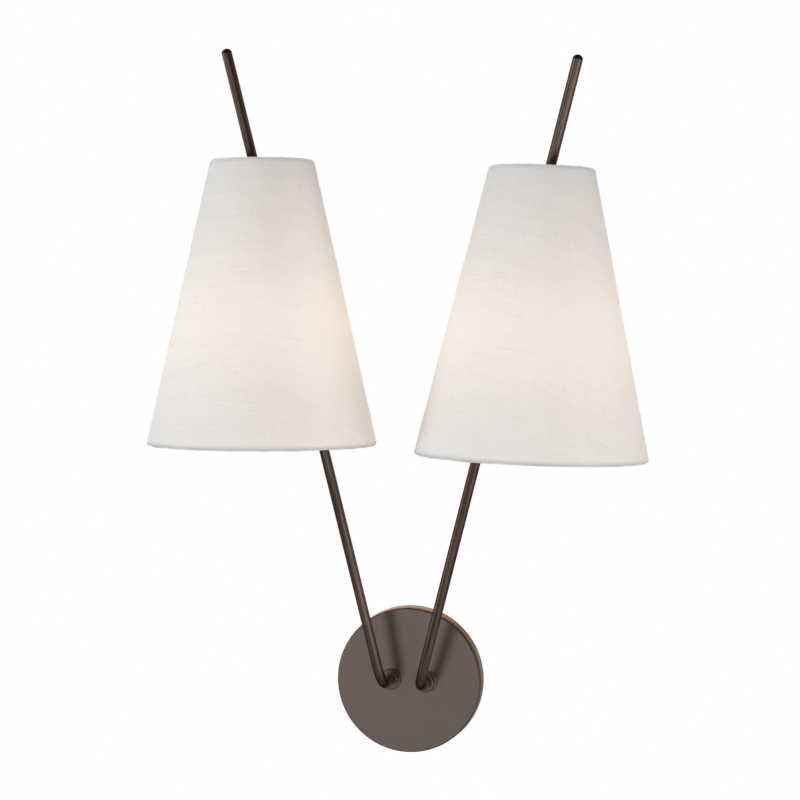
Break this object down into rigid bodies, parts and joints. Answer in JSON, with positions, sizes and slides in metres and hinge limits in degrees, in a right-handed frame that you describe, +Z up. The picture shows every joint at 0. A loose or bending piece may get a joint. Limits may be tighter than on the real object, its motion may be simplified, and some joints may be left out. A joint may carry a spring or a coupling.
{
  "type": "double arm wall sconce",
  "caption": "Wall sconce with thin splayed bronze arms rising from a round canopy, each arm piercing a tapered linen shade and ending in a bare tip.",
  "frame": {"origin": "centre of the canopy's back face, on the wall plane", "axes": "+Z up along the wall, +Y into the wall, +X to the right for someone who faces the light"},
  "size_m": [0.3955, 0.2124, 0.5641],
  "materials": {
    "bronze": "satin",
    "bronze_plate": "satin",
    "zinc_steel": "zinc plated",
    "brass": "plain",
    "ground_green": "gloss",
    "copper": "bare",
    "black_plastic": "moulded",
    "cable_jacket": "matte",
    "hot_wire": "matte",
    "neutral_wire": "matte",
    "nut_plastic": "moulded",
    "linen": "fine weave",
    "liner_film": "translucent white",
    "white_wire": "white coated",
    "frosted_glass": "frosted",
    "bulb_metal": "rolled",
    "filament": "wire on a glass stem"
  },
  "bodies": {
    "frame": {"canopy": "bronze_plate", "wall_bracket": "zinc_steel", "arm_lock_washers": "zinc_steel", "arm_lock_nuts": "zinc_steel", "canopy_set_screw": "bronze", "ground_screw": "ground_green", "left_arm_collar": "bronze", "left_arm_tube": "bronze", "left_arm_cap": "bronze", "left_shade_stop": "bronze", "left_carrier_screw": "zinc_steel", "left_socket_carrier": "zinc_steel", "left_arm_nipple": "brass", "left_socket_shell": "brass", "left_socket_contact": "brass", "left_socket_body": "black_plastic", "left_lead_cable": "cable_jacket", "right_arm_collar": "bronze", "right_arm_tube": "bronze", "right_arm_cap": "bronze", "right_shade_stop": "bronze", "right_carrier_screw": "zinc_steel", "right_socket_carrier": "zinc_steel", "right_arm_nipple": "brass", "right_socket_shell": "brass", "right_socket_contact": "brass", "right_socket_body": "black_plastic", "right_lead_cable": "cable_jacket", "hot_lead_tails": "hot_wire", "neutral_lead_tails": "neutral_wire", "ground_wire": "copper", "wire_nuts": "nut_plastic"},
    "left_shade": {"left_shade_hub": "bronze", "left_shade_lock_screw": "bronze", "left_shade_cover": "linen", "left_shade_top_hem": "linen", "left_shade_bottom_hem": "linen", "left_shade_liner": "liner_film", "left_shade_top_ring": "white_wire", "left_shade_bottom_ring": "white_wire", "left_shade_spider": "white_wire"},
    "left_bulb_base": {"left_bulb_cap": "bulb_metal"},
    "left_bulb": {"left_bulb_glass": "frosted_glass", "left_bulb_filament": "filament"},
    "right_shade": {"right_shade_hub": "bronze", "right_shade_lock_screw": "bronze", "right_shade_cover": "linen", "right_shade_top_hem": "linen", "right_shade_bottom_hem": "linen", "right_shade_liner": "liner_film", "right_shade_top_ring": "white_wire", "right_shade_bottom_ring": "white_wire", "right_shade_spider": "white_wire"},
    "right_bulb_base": {"right_bulb_cap": "bulb_metal"},
    "right_bulb": {"right_bulb_glass": "frosted_glass", "right_bulb_filament": "filament"}
  },
  "joints": [
    {"name": "left_shade_lift", "type": "slide", "parent": "frame", "child": "left_shade", "axis": [-0.2329, -0.1689, 0.9577], "range_m": [0, 0.131]},
    {"name": "left_bulb_travel", "type": "slide", "parent": "frame", "child": "left_bulb_base", "axis": [-0.2329, -0.1689, 0.9577], "range_m": [0, 0.0127]},
    {"name": "left_bulb_turn", "type": "hinge", "parent": "left_bulb_base", "child": "left_bulb", "pos_m": [-0.10814, -0.11833, 0.27868], "axis": [-0.2329, -0.1689, 0.9577], "range_deg": [0, 1800]},
    {"name": "right_shade_lift", "type": "slide", "parent": "frame", "child": "right_shade", "axis": [0.2329, -0.1689, 0.9577], "range_m": [0, 0.131]},
    {"name": "right_bulb_travel", "type": "slide", "parent": "frame", "child": "right_bulb_base", "axis": [0.2329, -0.1689, 0.9577], "range_m": [0, 0.0127]},
    {"name": "right_bulb_turn", "type": "hinge", "parent": "right_bulb_base", "child": "right_bulb", "pos_m": [0.10814, -0.11833, 0.27868], "axis": [0.2329, -0.1689, 0.9577], "range_deg": [0, 1800]}
  ],
  "couplings": [
    {"joint": "left_bulb_turn", "follows": "left_bulb_travel", "rad_per_m": 2473.7},
    {"joint": "right_bulb_turn", "follows": "right_bulb_travel", "rad_per_m": 2473.7}
  ]
}
